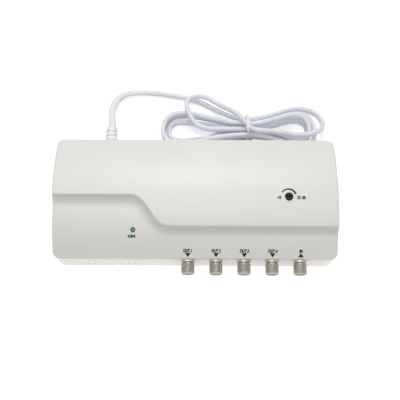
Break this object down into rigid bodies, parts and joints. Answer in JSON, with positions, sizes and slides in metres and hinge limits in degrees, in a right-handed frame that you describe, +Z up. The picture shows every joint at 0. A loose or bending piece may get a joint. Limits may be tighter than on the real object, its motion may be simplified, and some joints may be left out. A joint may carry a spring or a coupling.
{
  "type": "tv signal amplifier",
  "caption": "Low white mains-powered television signal amplifier with a row of threaded aerial sockets, a gain control, a power light and a tied flat cord with a plug.",
  "frame": {"origin": "middle of the flat underside of the housing", "axes": "+X to the right along the row of sockets, -Y out of the sockets, +Z up from the surface it stands on"},
  "size_m": [0.202, 0.152, 0.0394],
  "materials": {
    "shell": "fine moulded satin",
    "screw_steel": "zinc plated",
    "circuit_board": "solder resist",
    "core_steel": "varnished sheet steel",
    "winding": "taped copper winding",
    "fuse_glass": "glass tube with metal caps",
    "black_epoxy": "moulded",
    "capacitor_sleeve": "shrunk sleeve",
    "led_lens": "tinted clear lens",
    "tinned_steel": "tin plated",
    "nickel": "nickel plated",
    "insulator": "natural moulded",
    "contact_brass": "gold flashed",
    "ferrite": "sintered",
    "pot_plastic": "moulded",
    "knob_plastic": "moulded black",
    "wire_red": "PVC",
    "wire_brown": "PVC",
    "flex_white": "soft PVC",
    "tie_white": "paper covered wire"
  },
  "bodies": {
    "housing": {"base_tray": "shell", "top_cover": "shell", "cover_screws": "screw_steel", "supply_board": "circuit_board", "board_screws": "screw_steel", "transformer_core": "core_steel", "transformer_winding": "winding", "mains_fuse": "fuse_glass", "rectifier_diodes": "black_epoxy", "filter_capacitor": "capacitor_sleeve", "voltage_regulator": "black_epoxy", "power_led": "led_lens", "led_leads": "tinned_steel", "screen_frame": "tinned_steel", "screen_lid": "tinned_steel", "amplifier_board": "circuit_board", "output_connector_1": "nickel", "output_connector_2": "nickel", "output_connector_3": "nickel", "output_connector_4": "nickel", "aerial_connector": "nickel", "connector_insulators": "insulator", "connector_contacts": "contact_brass", "amplifier_chips": "black_epoxy", "splitter_ferrites": "ferrite", "gain_pot_case": "pot_plastic", "supply_wires": "wire_red", "mains_wires": "wire_brown", "strain_relief": "flex_white", "cord_lead": "flex_white", "cord_hank": "flex_white", "cord_tail": "flex_white", "hank_tie": "tie_white", "plug_grip": "flex_white", "plug_blades": "nickel"},
    "gain_control": {"gain_knob": "knob_plastic"}
  },
  "joints": [
    {"name": "gain_turn", "type": "hinge", "parent": "housing", "child": "gain_control", "pos_m": [0.066, -0.003, 0.03], "axis": [0, 0, 1], "range_deg": [-135, 135]}
  ]
}
